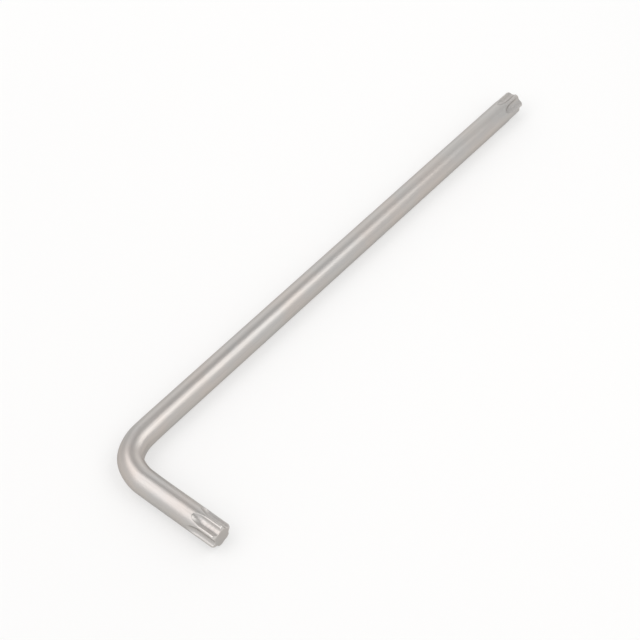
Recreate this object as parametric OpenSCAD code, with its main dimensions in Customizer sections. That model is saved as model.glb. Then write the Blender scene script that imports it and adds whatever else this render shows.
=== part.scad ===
// Star key: one round steel bar bent to an L, with a six-lobed star point
// formed in each end. It lies flat, with its long arm along X and its short
// arm towards -Y. The origin is at the middle of its box, on the surface that
// it lies on.

/* [Bar] */
// Diameter of the bar, and the size of the star across its lobes
bar_d = 6.7; // [6:0.05:8]
// Long arm, from the outside of the short arm to the end of its point
long_arm = 172.5; // [100:0.5:260]
// Short arm, from the outside of the long arm to the end of its point
short_arm = 38; // [30:0.5:60]
// Radius of the bend, to the middle of the bar
bend_r = 10; // [6:0.5:14]

/* [Star points] */
// Size of the star across two opposite flutes
flute_d = 4.75; // [4.2:0.05:5.2]
// Radius of each lobe
lobe_r = 0.51; // [0.4:0.01:0.7]
// Length over which the flutes of the long arm's point have their full depth
long_point = 4.2; // [2:0.1:8]
// Length over which the flutes of the short arm's point have their full depth
short_point = 4.6; // [2:0.1:8]
// Radius along which each flute runs out to the bar's surface
runout_r = 6.8; // [3:0.1:12]
// Radius to which the edge of each end is rounded over
end_round = 0.85; // [0.2:0.05:0.9]
// Turn of the long arm's first lobe from straight up, towards the inside of the bend
long_turn = 17; // [0:1:59]
// Turn of the short arm's first lobe from straight up, towards the inside of the bend
short_turn = 10; // [0:1:59]

/* [Hidden] */

// Lobes of the star, and half the angle from one lobe to the next
lobes = 6;
half_pitch = 180 / lobes;

// Rise of the lobes' arcs past the bar, which trims them to a narrow crest
crest_rise = 0.01;
// Turn of each lobe's arc that is left standing at its crest
crest_turn = 6;
// Straight steps that draw the arc of a lobe's flank and of a flute
lobe_steps = 5;
flute_steps = 8;
// Straight steps that draw the rounded edge of an end
round_steps = 6;
// Reach of every cut past the surface that it opens
overrun = 1;

bar_r = bar_d / 2;
flute_r = flute_d / 2;
// The bar's two axes cross here
corner = [bar_r - long_arm / 2, short_arm / 2 - bar_r, bar_r];
long_straight = long_arm - bar_r - bend_r;
short_straight = short_arm - bar_r - bend_r;

// Centre of a lobe's arc, from the bar's axis
lobe_axis = bar_r + crest_rise - lobe_r;
// Radius of a flute's arc: the one that meets both its neighbouring lobes
// without a corner
flute_arc_r = (pow(lobe_r, 2) - pow(lobe_axis, 2) - pow(flute_r, 2)
               + 2 * lobe_axis * flute_r * cos(half_pitch))
              / (2 * (flute_r - lobe_axis * cos(half_pitch) - lobe_r));
// Centre of a flute's arc, from the bar's axis
flute_axis = flute_r + flute_arc_r;
// Direction, from the middle of a lobe, of the point where the two arcs meet
meet = atan2(-lobe_axis * sin(half_pitch), flute_axis - lobe_axis * cos(half_pitch));
// Axis of the round along which the flute runs out, from the bar's axis
runout_axis = flute_r + runout_r;
// Reach of the cuts, from the bar's axis
cut_top = bar_r + overrun;

$fn = 96;

// Point on the flank of the lobe on one side of a flute, as [outwards, across]
function lobe_point(t, side) =
    [lobe_axis * cos(half_pitch) + lobe_r * cos(t),
     side * (lobe_axis * sin(half_pitch) + lobe_r * sin(t))];

function flute_point(t) = [flute_axis + flute_arc_r * cos(t), flute_arc_r * sin(t)];

// Flank of a lobe, from its crest down to the flute
function flank(side) =
    [for (i = [0:lobe_steps])
        let (crest = half_pitch - crest_turn)
        lobe_point(crest + (meet - crest) * i / lobe_steps, side)];

// Bottom of a flute, between the two flanks
function flute_floor() =
    [for (i = [1:flute_steps - 1]) flute_point(180 + meet - 2 * meet * i / flute_steps)];

function backwards(points) = [for (i = [len(points) - 1:-1:0]) points[i]];

// Section of the cut that leaves one flute and half of each lobe beside it,
// drawn from the axis of the flute's run-out
module flute_section() {
    near_side = flank(1);
    far_side = flank(-1);
    outline = concat([[cut_top, near_side[0][1]]], near_side, flute_floor(),
                     backwards(far_side), [[cut_top, far_side[0][1]]]);
    polygon([for (p = outline) [runout_axis - p[0], p[1]]]);
}

// One flute: straight out through the end of the point, and rounded up to the
// bar's surface at the other end
module flute_cut(full_len) {
    translate([runout_axis, 0, -full_len]) rotate([90, 180, 0]) {
        rotate([90, 0, 0]) linear_extrude(full_len + overrun) flute_section();
        rotate_extrude(angle = 90) flute_section();
    }
}

// Point on the rounded edge of an end, as [from the axis, along it], at a turn
// of 0 on the bar's skin to 90 on the end face
function edge_point(t) =
    [bar_r - end_round * (1 - cos(t)), end_round * (sin(t) - 1)];

// Ring that is taken off the edge of an end. Its first and last steps run on
// straight, out through the bar's skin and its end face.
module edge_cut() {
    arc = [for (i = [0:round_steps]) edge_point(90 * i / round_steps)];
    skin_exit = 2 * arc[0] - arc[1];
    face_exit = 2 * arc[round_steps] - arc[round_steps - 1];
    rotate_extrude()
        polygon(concat([skin_exit],
                       [for (i = [1:round_steps - 1]) arc[i]],
                       [face_exit, [face_exit[0], overrun]],
                       [[cut_top, overrun], [cut_top, skin_exit[1]]]));
}

// All that is cut from one end of the bar. The end's middle is at the origin,
// its way out is +Z, and turn is the first lobe's angle from +X.
module star_point_cuts(full_len, turn) {
    for (i = [0:lobes - 1])
        rotate([0, 0, turn + half_pitch + i * 2 * half_pitch]) flute_cut(full_len);
    edge_cut();
}

// The round bar, bent once, before its ends are worked. Its axes cross at the
// origin.
module bent_bar() {
    translate([bend_r, 0, 0]) rotate([0, 90, 0])
        cylinder(h = long_straight, r = bar_r);
    translate([bend_r, -bend_r, 0]) rotate([0, 0, 90])
        rotate_extrude(angle = 90) translate([bend_r, 0]) circle(r = bar_r);
    translate([0, -bend_r, 0]) rotate([90, 0, 0])
        cylinder(h = short_straight, r = bar_r);
}

module key_bar() {
    color([0.78, 0.76, 0.73]) translate(corner) difference() {
        bent_bar();
        translate([bend_r + long_straight, 0, 0]) rotate([0, 90, 0])
            rotate([0, 0, 180]) star_point_cuts(long_point, long_turn);
        translate([0, -bend_r - short_straight, 0]) rotate([90, 0, 0])
            rotate([0, 0, 90]) star_point_cuts(short_point, -short_turn);
    }
}

key_bar();
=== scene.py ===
"""Star key: the looks of one bent steel bar with a six-lobed star point in each end.

The bar is drawn round and straight from the bend outwards, as by hand. The inside of
its bend is then flattened a little, and its two ends are pressed to the star. Lengths
are in metres.
"""

import math

import bmesh
import bpy
import numpy as np
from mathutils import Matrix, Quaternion, Vector


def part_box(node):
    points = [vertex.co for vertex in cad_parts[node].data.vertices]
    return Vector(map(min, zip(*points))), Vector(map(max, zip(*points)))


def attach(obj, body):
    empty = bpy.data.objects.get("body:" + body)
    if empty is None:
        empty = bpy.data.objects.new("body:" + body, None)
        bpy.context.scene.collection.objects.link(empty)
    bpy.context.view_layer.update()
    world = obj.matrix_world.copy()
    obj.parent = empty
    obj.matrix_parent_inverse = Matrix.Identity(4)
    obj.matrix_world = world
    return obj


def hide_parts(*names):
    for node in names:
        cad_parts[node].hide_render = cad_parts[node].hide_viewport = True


MM = 0.001

# Bend and star points
BEND_R = 10 * MM
FLUTE_D = 4.75 * MM
LOBE_R = 0.51 * MM
CREST_RISE = 0.01 * MM
LONG_POINT = 4.2 * MM
SHORT_POINT = 4.6 * MM
RUNOUT_R = 6.8 * MM
END_ROUND = 0.85 * MM
LONG_TURN = math.radians(17)
SHORT_TURN = math.radians(10)
LOBES = 6
HALF_PITCH = math.pi / LOBES
SECTION_POINTS = 120

# The former that the bar was bent round leaves a flat on the inside of the bend,
# and the bend is a little tighter in its middle than towards its ends
FLAT_DEPTH = 0.24 * MM
FLAT_TURN = math.radians(19)
BULGE_RISE = 0.14 * MM
BULGE_PLACE = math.radians(36)
BULGE_TURN = math.radians(22)
FLAT_REACH = 10 * MM
TIGHT_SHIFT = 0.16 * MM
TIGHT_REACH = 3.2 * MM

# Rounding that plating and tumbling leave on the edges
FLUTE_EDGE = 0.08 * MM
RIM_EDGE = 0.07 * MM

# Fineness of the mesh
RING_POINTS = 360
BEND_STEPS = 48
BEND_SIDE = 10 * MM
BEND_SIDE_STEP = 1 * MM
PLAIN_STEP = 4 * MM
RUNOUT_STEP = 0.1 * MM
POINT_STEP = 1 * MM
ROUND_STEPS = 12
CAP_SHARES = (0.94, 0.8, 0.6, 0.35, 0.12)
# Least distance between two rings, and how far a ring's points may lie off its plane
RING_SPACING = 0.005 * MM
RING_TOLERANCE = 0.007 * MM
# Points up to this share of the bar's radius belong to it
SKIN_SHARE = 1.01
# Depth within which a point belongs to an end face
FACE_DEPTH = 0.035 * MM
SMOOTH_ANGLE = math.radians(40)

# The photograph's view, with the lens and the sensor in millimetres
VIEW_AZIMUTH = math.radians(-50.79)
VIEW_ELEVATION = math.radians(48.84)
VIEW_TARGET = Vector((-16.52 * MM, 5.7 * MM, 3.35 * MM))
VIEW_DISTANCE = 416.2 * MM
LENS = 90
SENSOR = 36

# Soft lamps round the key, as the level of light that they show
LEFT_LAMP = {
    "heading": math.radians(-46.7),
    "elevation": math.radians(57.8),
    "roll": math.radians(24),
    "distance": 535 * MM,
    "width": 779 * MM,
    "height": 390 * MM,
    "level": 1.53,
    "colour": (1, 0.97, 0.975),
}
RIGHT_LAMP = {
    "heading": math.radians(143),
    "elevation": math.radians(52.5),
    "roll": 0,
    "distance": 380 * MM,
    "width": 385 * MM,
    "height": 226 * MM,
    "level": 1.68,
    "colour": (1, 1, 1),
}
BACK_LAMP = {
    "heading": math.radians(56),
    "elevation": math.radians(21),
    "roll": 0,
    "distance": 300 * MM,
    "width": 387 * MM,
    "height": 225 * MM,
    "level": 0.45,
    "colour": (1, 1, 1),
}

# The room: a horizon that is paler on the viewer's side, and darkens towards the ceiling
FRONT_LEVEL = 1.1
BACK_LEVEL = 0.7
CEILING_LEVEL = 0.47
CEILING_START = math.radians(32)
CEILING_FULL = math.radians(40)
ROOM_COLOUR = (0.985, 1, 1.02, 1)

FLOOR_SIZE = 100
FLOOR_COLOUR = (0.84, 0.83, 0.81, 1)
PAPER_ROUGHNESS = 0.9
# Share of plain white in the floor beside the key, as the eye and the metal see it,
# and the distances from the key's middle between which it grows to the whole
FLOOR_WHITE = 0.5
FLOOR_FADE = (120 * MM, 350 * MM)

# Satin chrome: its colours and gloss
CHROME_WARM = (0.532, 0.489, 0.454, 1)
CHROME_COOL = (0.509, 0.49, 0.468, 1)
CHROME_STREAK = (0.455, 0.427, 0.405, 1)
CHROME_WORN = (0.65, 0.62, 0.588, 1)
CHROME_EDGE = (0.7, 0.7, 0.7, 1)
SATIN_ROUGHNESS = (0.35, 0.41)
WORN_ROUGHNESS = 0.3

# The marks in the plating: sizes, heights, and the stretch of the noise that each one takes
CLOUD_SIZE = 9 * MM
CLOUD_RANGE = (0.35, 0.65)
STREAK_LENGTH = 14 * MM
STREAK_WIDTH = 0.35 * MM
STREAK_HEIGHT = 0.002 * MM
STREAK_RANGE = (0.5, 0.75)
STREAK_SHARE = 0.5
GLOSS_RANGE = (0.3, 0.7)
GRAIN_SIZE = 0.25 * MM
GRAIN_HEIGHT = 0.007 * MM
PEEL_LENGTH = 4.4 * MM
PEEL_WIDTH = 1.1 * MM
PEEL_HEIGHT = 0.012 * MM
# Chatter that the press leaves across the flutes
CHATTER_PITCH = 0.45 * MM
CHATTER_WIDTH = 2.7 * MM
CHATTER_DEPTH = 0.015 * MM
CHATTER_RANGE = (0.45, 0.65)
CHATTER_SHARE = 0.8
# Wear on the crests near the ends
WEAR_SIZE = 0.4 * MM
WEAR_REACH = 4.5 * MM
WEAR_RANGE = (0.4, 0.6)
WEAR_LEAST = 0.25
# How quickly the wear ends towards a flute
WEAR_DROP = 4
SOFT_DETAIL = 2
FINE_DETAIL = 3

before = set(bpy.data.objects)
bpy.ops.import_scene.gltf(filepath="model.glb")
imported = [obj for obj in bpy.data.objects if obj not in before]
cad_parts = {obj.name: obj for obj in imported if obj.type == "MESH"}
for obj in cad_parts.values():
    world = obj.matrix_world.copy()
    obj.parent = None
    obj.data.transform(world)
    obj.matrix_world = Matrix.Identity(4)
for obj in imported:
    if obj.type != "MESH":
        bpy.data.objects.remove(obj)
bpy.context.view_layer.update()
bar_low, bar_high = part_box("key_bar")
bar_r = (bar_high[2] - bar_low[2]) / 2
flute_r = FLUTE_D / 2
corner = Vector((bar_low[0] + bar_r, bar_high[1] - bar_r, bar_low[2] + bar_r))
long_end = Vector((bar_high[0], corner.y, corner.z))
short_end = Vector((corner.x, bar_low[1], corner.z))
bend_centre = corner + Vector((BEND_R, -BEND_R, 0))
UP = Vector((0, 0, 1))
LONG_OUT = Vector((1, 0, 0))
SHORT_OUT = Vector((0, -1, 0))


def star_section():
    """One side of a flute, from its floor to the crest beside it, as (outwards, across)."""
    lobe_axis = bar_r + CREST_RISE - LOBE_R
    top = LOBE_R**2 - lobe_axis**2 - flute_r**2 + 2 * lobe_axis * flute_r * math.cos(HALF_PITCH)
    flute_arc_r = top / (2 * (flute_r - lobe_axis * math.cos(HALF_PITCH) - LOBE_R))
    flute_axis = flute_r + flute_arc_r
    meet = math.atan2(
        -lobe_axis * math.sin(HALF_PITCH), flute_axis - lobe_axis * math.cos(HALF_PITCH)
    )
    floor_turn = np.linspace(math.pi, math.pi + meet, SECTION_POINTS)
    flank_turn = np.linspace(meet, HALF_PITCH, SECTION_POINTS)
    outwards = np.concatenate([
        flute_axis + flute_arc_r * np.cos(floor_turn),
        lobe_axis * math.cos(HALF_PITCH) + LOBE_R * np.cos(flank_turn),
    ])
    across = np.concatenate([
        flute_arc_r * np.sin(floor_turn),
        lobe_axis * math.sin(HALF_PITCH) + LOBE_R * np.sin(flank_turn),
    ])
    return outwards, across


def soft_min(a, b, width):
    """The smaller of two sizes, rounded over where they are close."""
    share = np.clip(0.5 + (b - a) / (2 * width), 0, 1)
    return b + (a - b) * share - width * share * (1 - share)


def star_radius(turn, depth, full_len, section):
    """Radius of the finished point, at a turn from the first lobe and a depth from the end."""
    outwards, across = section
    runout_axis = flute_r + RUNOUT_R
    rise = max(depth - full_len, 0)
    lifted = runout_axis - np.sqrt((runout_axis - outwards) ** 2 - rise**2)
    cut_turn = np.arctan2(across, lifted)
    cut_radius = np.hypot(across, lifted)
    from_flute = np.abs(turn % (2 * HALF_PITCH) - HALF_PITCH)
    cut = np.interp(from_flute, cut_turn, cut_radius, right=2 * bar_r)
    round_depth = max(END_ROUND - depth, 0)
    skin = bar_r - END_ROUND + math.sqrt(END_ROUND**2 - round_depth**2)
    radius = soft_min(cut, np.full_like(cut, skin), FLUTE_EDGE)
    rim = max(RIM_EDGE - depth, 0) / RIM_EDGE
    return radius - RIM_EDGE * (1 - math.sqrt(1 - rim**2))


def draw_out(step):
    """Extrudes the ring that is selected."""
    bpy.ops.mesh.extrude_region_move(TRANSFORM_OT_translate={"value": step})


def even_steps(start, stop, step):
    """Depths from start, which is left out, to stop, about a step apart."""
    return np.linspace(start, stop, round((start - stop) / step) + 1)[1:]


def ring_depths(straight, full_len):
    """Depths from the end at which one arm has a ring, from the bend outwards."""
    runout_len = math.sqrt(RUNOUT_R**2 - (RUNOUT_R - bar_r + flute_r) ** 2)
    star_len = full_len + runout_len + RUNOUT_STEP
    beside_bend = even_steps(straight, straight - BEND_SIDE, BEND_SIDE_STEP)
    plain = even_steps(straight - BEND_SIDE, star_len, PLAIN_STEP)
    runout = even_steps(star_len, full_len, RUNOUT_STEP)
    point = even_steps(full_len, END_ROUND, POINT_STEP)
    rounded = END_ROUND * (1 - np.sin(np.linspace(0, math.pi / 2, ROUND_STEPS + 1)[1:]))
    return [*beside_bend, *plain, *runout, *point, *rounded]


def draw_arm(end, out, straight, full_len):
    """Draws one arm out from the ring that is selected, and closes its end."""
    depth = straight
    for next_depth in ring_depths(straight, full_len):
        draw_out(out * (depth - next_depth))
        depth = next_depth
    share = 1
    for next_share in CAP_SHARES:
        draw_out((0, 0, 0))
        bpy.ops.transform.resize(value=(next_share / share,) * 3, center_override=end)
        share = next_share
    bpy.ops.mesh.merge(type="CENTER")


def select_ring(key, place, along):
    """Selects the points that lie in the plane through place, square to along."""
    bpy.ops.mesh.select_all(action="DESELECT")
    mesh = bmesh.from_edit_mesh(key.data)
    for vert in mesh.verts:
        vert.select = abs((vert.co - place).dot(along)) < RING_TOLERANCE
    mesh.select_flush_mode()
    bmesh.update_edit_mesh(key.data)


def press_star(places, end, out, inside, full_len, first_turn, section):
    """Presses the star into the points of the mesh that are near one end."""
    offset = places - np.array(end)
    depth = -(offset @ np.array(out))
    up_part = offset @ np.array(UP)
    side_part = offset @ np.array(inside)
    radius = np.hypot(up_part, side_part)
    turn = np.arctan2(side_part, up_part) - first_turn
    near = (depth < full_len + RUNOUT_R) & (radius < SKIN_SHARE * bar_r)
    ring_number = np.round(depth / RING_SPACING).astype(int)
    for number in np.unique(ring_number[near]):
        ring = near & (ring_number == number)
        ring_depth = max(number * RING_SPACING, 0)
        factor = star_radius(turn[ring], ring_depth, full_len, section) / bar_r
        centre = np.array(end) - depth[ring, None] * np.array(out)
        places[ring] = centre + (places[ring] - centre) * factor[:, None]


def straightened(places):
    """Each point's place on the bar before it was bent: along it, up, and towards the inside."""
    offset = places - np.array(bend_centre)
    bend_turn = np.clip(np.arctan2(-offset[:, 0], offset[:, 1]), 0, math.pi / 2)
    sine = np.sin(bend_turn)
    cosine = np.cos(bend_turn)
    along = offset[:, 0] * cosine + offset[:, 1] * sine - BEND_R * bend_turn
    inside = BEND_R + offset[:, 0] * sine - offset[:, 1] * cosine
    return np.column_stack([along, offset[:, 2], inside])


def flatten_bend(places):
    """Flattens the inside of the bend, with a low bulge above and below the flat."""
    along, up, inside = straightened(places).T
    bend_turn = np.clip(-along / BEND_R, 0, math.pi / 2)
    turn = np.abs(np.arctan2(up, inside))
    from_middle = along + BEND_R * math.pi / 4
    reach = np.exp(-((from_middle / FLAT_REACH) ** 4))
    flat = FLAT_DEPTH * np.exp(-((turn / FLAT_TURN) ** 2))
    bulge = BULGE_RISE * np.exp(-(((turn - BULGE_PLACE) / BULGE_TURN) ** 2))
    growth = reach * (bulge - flat) / bar_r
    share = (from_middle / TIGHT_REACH) ** 2
    inwards = growth * inside - TIGHT_SHIFT * (1 - share) * np.exp(-share / 2)
    places[:, 0] += inwards * np.sin(bend_turn)
    places[:, 1] -= inwards * np.cos(bend_turn)
    places[:, 2] += growth * up


def mark_surface(key, places):
    """Stores, for the material, the unbent place of each point and where it is pressed and worn."""
    unbent = straightened(places)
    radius = np.hypot(unbent[:, 1], unbent[:, 2])
    to_end = np.minimum(long_end.x - places[:, 0], places[:, 1] - short_end.y)
    round_depth = np.clip(END_ROUND - to_end, 0, END_ROUND)
    skin = bar_r - END_ROUND + np.sqrt(END_ROUND**2 - round_depth**2)
    pressed = np.clip((skin - radius) / (bar_r - flute_r), 0, 1)
    pressed[(to_end < FACE_DEPTH) | (to_end > SHORT_POINT + RUNOUT_R)] = 0
    worn = np.clip(1 - to_end / WEAR_REACH, 0, 1) * np.clip(1 - WEAR_DROP * pressed, 0, 1)
    worn[(to_end < FACE_DEPTH) & (radius < flute_r)] = 0
    for name, kind, field, values in (
        ("unbent_bar", "FLOAT_VECTOR", "vector", unbent),
        ("pressed_flute", "FLOAT", "value", pressed),
        ("worn_crest", "FLOAT", "value", worn),
    ):
        attribute = key.data.attributes.new(name, kind, "POINT")
        attribute.data.foreach_set(field, values.ravel().astype(np.float32))


def model_key_bar():
    """The bar: a round ring spun round the bend, drawn out to both arms, and pressed."""
    bpy.ops.object.select_all(action="DESELECT")
    ring_place = corner + Vector((BEND_R, 0, 0))
    bpy.ops.mesh.primitive_circle_add(
        vertices=RING_POINTS, radius=bar_r, location=ring_place, rotation=(0, math.pi / 2, 0)
    )
    key = bpy.context.object
    key.name = "star_key_bar"
    bpy.ops.object.transform_apply(location=True, rotation=True, scale=True)
    bpy.ops.object.mode_set(mode="EDIT")
    bpy.ops.mesh.select_mode(type="VERT")
    bpy.ops.mesh.select_all(action="SELECT")
    bpy.ops.mesh.spin(steps=BEND_STEPS, angle=-math.pi / 2, center=bend_centre, axis=(0, 0, 1))
    draw_arm(short_end, SHORT_OUT, bend_centre.y - short_end.y, SHORT_POINT)
    select_ring(key, ring_place, LONG_OUT)
    draw_arm(long_end, LONG_OUT, long_end.x - bend_centre.x, LONG_POINT)
    bpy.ops.mesh.select_all(action="SELECT")
    bpy.ops.mesh.normals_make_consistent(inside=False)
    bpy.ops.object.mode_set(mode="OBJECT")

    places = np.empty(len(key.data.vertices) * 3)
    key.data.vertices.foreach_get("co", places)
    places = places.reshape(-1, 3)
    flatten_bend(places)
    section = star_section()
    press_star(places, long_end, LONG_OUT, SHORT_OUT, LONG_POINT, LONG_TURN, section)
    press_star(places, short_end, SHORT_OUT, LONG_OUT, SHORT_POINT, SHORT_TURN, section)
    key.data.vertices.foreach_set("co", places.ravel())
    key.data.update()
    mark_surface(key, places)
    bpy.ops.object.shade_smooth_by_angle(angle=SMOOTH_ANGLE)
    return key


def surface_mark(tree, name, output):
    """Reads one of the values that the mesh stores."""
    node = tree.nodes.new("ShaderNodeAttribute")
    node.attribute_name = name
    return node.outputs[output]


def squeezed(tree, place, along, across):
    """The place, in units of a mark's length along the bar and its width across it."""
    node = tree.nodes.new("ShaderNodeMapping")
    node.inputs["Scale"].default_value = (1 / along, 1 / across, 1 / across)
    tree.links.new(place, node.inputs["Vector"])
    return node.outputs["Vector"]


def noise(tree, place, size=1, detail=SOFT_DETAIL):
    """Cloudy noise with marks of about the size given."""
    node = tree.nodes.new("ShaderNodeTexNoise")
    node.inputs["Scale"].default_value = 1 / size
    node.inputs["Detail"].default_value = detail
    tree.links.new(place, node.inputs["Vector"])
    return node.outputs["Fac"]


def spread(tree, value, low, high, stretch=(0, 1)):
    """A value within the stretch given, brought to the range from low to high."""
    node = tree.nodes.new("ShaderNodeMapRange")
    node.inputs["From Min"].default_value = stretch[0]
    node.inputs["From Max"].default_value = stretch[1]
    node.inputs["To Min"].default_value = low
    node.inputs["To Max"].default_value = high
    tree.links.new(value, node.inputs["Value"])
    return node.outputs["Result"]


def sums(tree, operation, first, second):
    """Joins two values by one sum."""
    node = tree.nodes.new("ShaderNodeMath")
    node.operation = operation
    tree.links.new(first, node.inputs[0])
    tree.links.new(second, node.inputs[1])
    return node.outputs["Value"]


def blend_colours(tree, share, first, second):
    """Blends two colours, each a plain colour or another node's output."""
    node = tree.nodes.new("ShaderNodeMix")
    node.data_type = "RGBA"
    tree.links.new(share, node.inputs["Factor"])
    for name, colour in (("A", first), ("B", second)):
        socket = next(s for s in node.inputs if s.name == name and s.type == "RGBA")
        if isinstance(colour, tuple):
            socket.default_value = colour
        else:
            tree.links.new(colour, socket)
    return next(s for s in node.outputs if s.type == "RGBA")


def satin_chrome():
    """Matt plating: fine grain, streaks along the bar, slow clouds, and brighter worn crests."""
    material = bpy.data.materials.new("satin_chrome")
    material.use_nodes = True
    tree = material.node_tree
    shader = tree.nodes["Principled BSDF"]
    shader.inputs["Metallic"].default_value = 1
    shader.inputs["Specular Tint"].default_value = CHROME_EDGE

    place = tree.nodes.new("ShaderNodeTexCoord").outputs["Object"]
    unbent = surface_mark(tree, "unbent_bar", "Vector")
    pressed = surface_mark(tree, "pressed_flute", "Fac")
    worn = surface_mark(tree, "worn_crest", "Fac")
    clouds = spread(tree, noise(tree, place, CLOUD_SIZE), 0, 1, CLOUD_RANGE)
    streaks = noise(tree, squeezed(tree, unbent, STREAK_LENGTH, STREAK_WIDTH), detail=FINE_DETAIL)
    peel = noise(tree, squeezed(tree, unbent, PEEL_LENGTH, PEEL_WIDTH))
    grain = noise(tree, place, GRAIN_SIZE, FINE_DETAIL)
    chatter = noise(tree, squeezed(tree, unbent, CHATTER_PITCH, CHATTER_WIDTH))
    scored = sums(tree, "MULTIPLY", spread(tree, chatter, 0, 1, CHATTER_RANGE), pressed)
    patches = spread(tree, noise(tree, place, WEAR_SIZE, FINE_DETAIL), WEAR_LEAST, 1, WEAR_RANGE)
    wear = sums(tree, "MULTIPLY", worn, patches)

    tone = blend_colours(tree, clouds, CHROME_WARM, CHROME_COOL)
    drawn = spread(tree, streaks, 0, STREAK_SHARE, STREAK_RANGE)
    tone = blend_colours(tree, drawn, tone, CHROME_STREAK)
    tone = blend_colours(tree, spread(tree, scored, 0, CHATTER_SHARE), tone, CHROME_STREAK)
    tone = blend_colours(tree, wear, tone, CHROME_WORN)
    tree.links.new(tone, shader.inputs["Base Color"])

    satin = spread(tree, streaks, *SATIN_ROUGHNESS, GLOSS_RANGE)
    gloss = tree.nodes.new("ShaderNodeMix")
    gloss.inputs["B"].default_value = WORN_ROUGHNESS
    tree.links.new(wear, gloss.inputs["Factor"])
    tree.links.new(satin, gloss.inputs["A"])
    tree.links.new(gloss.outputs["Result"], shader.inputs["Roughness"])

    height = spread(tree, grain, 0, GRAIN_HEIGHT)
    height = sums(tree, "ADD", height, spread(tree, streaks, 0, STREAK_HEIGHT))
    height = sums(tree, "ADD", height, spread(tree, peel, 0, PEEL_HEIGHT))
    height = sums(tree, "ADD", height, spread(tree, scored, 0, -CHATTER_DEPTH))
    bump = tree.nodes.new("ShaderNodeBump")
    bump.inputs["Distance"].default_value = 1
    tree.links.new(height, bump.inputs["Height"])
    tree.links.new(bump.outputs["Normal"], shader.inputs["Normal"])
    return material


def pale_floor():
    """Warm white paper that keeps the key's soft shadow, and shows plain white far off."""
    bpy.ops.mesh.primitive_plane_add(size=FLOOR_SIZE, location=(0, 0, bar_low[2]))
    floor = bpy.context.object
    floor.name = "floor"
    material = bpy.data.materials.new("pale_paper")
    material.use_nodes = True
    tree = material.node_tree
    paper = tree.nodes["Principled BSDF"]
    paper.inputs["Base Color"].default_value = FLOOR_COLOUR
    paper.inputs["Roughness"].default_value = PAPER_ROUGHNESS
    paper.inputs["Specular IOR Level"].default_value = 0
    white = tree.nodes.new("ShaderNodeEmission")

    rays = tree.nodes.new("ShaderNodeLightPath").outputs
    seen = sums(tree, "ADD", rays["Is Camera Ray"], rays["Is Glossy Ray"])
    seen = sums(tree, "ADD", seen, rays["Is Transmission Ray"])
    distance = tree.nodes.new("ShaderNodeVectorMath")
    distance.operation = "LENGTH"
    tree.links.new(tree.nodes.new("ShaderNodeTexCoord").outputs["Object"], distance.inputs[0])
    whiteness = spread(tree, distance.outputs["Value"], FLOOR_WHITE, 1, FLOOR_FADE)

    mix = tree.nodes.new("ShaderNodeMixShader")
    tree.links.new(sums(tree, "MULTIPLY", seen, whiteness), mix.inputs["Fac"])
    tree.links.new(paper.outputs["BSDF"], mix.inputs[1])
    tree.links.new(white.outputs["Emission"], mix.inputs[2])
    tree.links.new(mix.outputs["Shader"], tree.nodes["Material Output"].inputs["Surface"])
    floor.data.materials.append(material)


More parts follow.
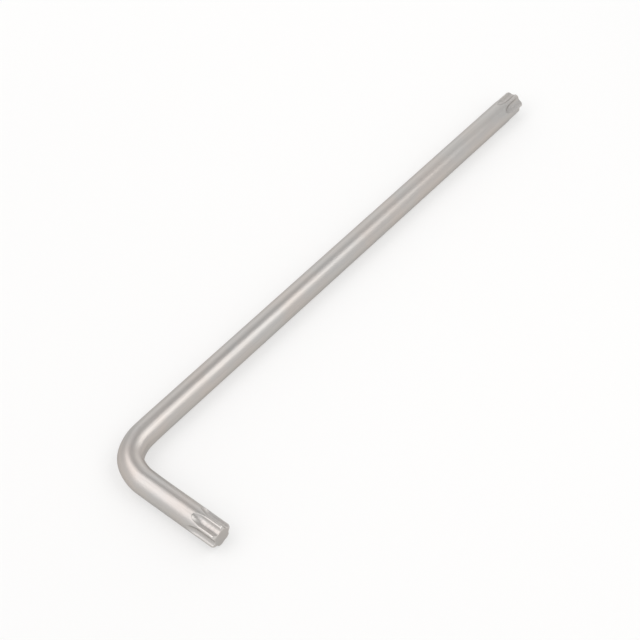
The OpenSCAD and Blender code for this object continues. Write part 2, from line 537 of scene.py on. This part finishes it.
def studio_world():
    """A horizon that is paler on the viewer's side, and darkens towards the ceiling."""
    world = bpy.data.worlds.new("studio")
    world.use_nodes = True
    bpy.context.scene.world = world
    tree = world.node_tree
    direction = tree.nodes.new("ShaderNodeTexCoord").outputs["Generated"]
    parts = tree.nodes.new("ShaderNodeSeparateXYZ")
    backwards = tree.nodes.new("ShaderNodeVectorMath")
    backwards.operation = "DOT_PRODUCT"
    backwards.inputs[1].default_value = (-math.sin(VIEW_AZIMUTH), math.cos(VIEW_AZIMUTH), 0)
    level = tree.nodes.new("ShaderNodeMapRange")
    level.interpolation_type = "SMOOTHSTEP"
    level.inputs["From Min"].default_value = math.sin(CEILING_START)
    level.inputs["From Max"].default_value = math.sin(CEILING_FULL)
    level.inputs["To Max"].default_value = CEILING_LEVEL
    tree.links.new(direction, parts.inputs["Vector"])
    tree.links.new(direction, backwards.inputs[0])
    horizon = spread(tree, backwards.outputs["Value"], FRONT_LEVEL, BACK_LEVEL, (-1, 1))
    tree.links.new(parts.outputs["Z"], level.inputs["Value"])
    tree.links.new(horizon, level.inputs["To Min"])
    background = tree.nodes["Background"]
    background.inputs["Color"].default_value = ROOM_COLOUR
    tree.links.new(level.outputs["Result"], background.inputs["Strength"])


def soft_lamp(name, heading, elevation, roll, distance, width, height, level, colour):
    """A soft lamp that faces the bend. Heading is from +Y towards +X, roll is about its facing."""
    towards = Vector((
        math.sin(heading) * math.cos(elevation),
        math.cos(heading) * math.cos(elevation),
        math.sin(elevation),
    ))
    lamp = bpy.data.lights.new(name, "AREA")
    lamp.shape = "RECTANGLE"
    lamp.size = width
    lamp.size_y = height
    lamp.energy = level * math.pi * width * height
    lamp.color = colour
    holder = bpy.data.objects.new(name, lamp)
    holder.visible_camera = False
    bpy.context.collection.objects.link(holder)
    holder.location = corner + towards * distance
    facing = towards.to_track_quat("Z", "Y") @ Quaternion((0, 0, 1), -roll)
    holder.rotation_euler = facing.to_euler()


def photo_camera():
    """The camera, where the photograph was taken from."""
    back = Vector((
        math.sin(VIEW_AZIMUTH) * math.cos(VIEW_ELEVATION),
        -math.cos(VIEW_AZIMUTH) * math.cos(VIEW_ELEVATION),
        math.sin(VIEW_ELEVATION),
    ))
    camera = bpy.data.cameras.new("photo_view")
    camera.lens = LENS
    camera.sensor_width = SENSOR
    holder = bpy.data.objects.new("photo_view", camera)
    bpy.context.collection.objects.link(holder)
    holder.location = VIEW_TARGET + back * VIEW_DISTANCE
    holder.rotation_euler = back.to_track_quat("Z", "Y").to_euler()
    bpy.context.scene.camera = holder


photo_camera()
key_bar = model_key_bar()
key_bar.data.materials.append(satin_chrome())
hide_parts("key_bar")
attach(key_bar, "root")
pale_floor()
studio_world()
soft_lamp("left_lamp", **LEFT_LAMP)
soft_lamp("right_lamp", **RIGHT_LAMP)
soft_lamp("back_lamp", **BACK_LAMP)
bpy.context.scene.view_settings.view_transform = "Standard"
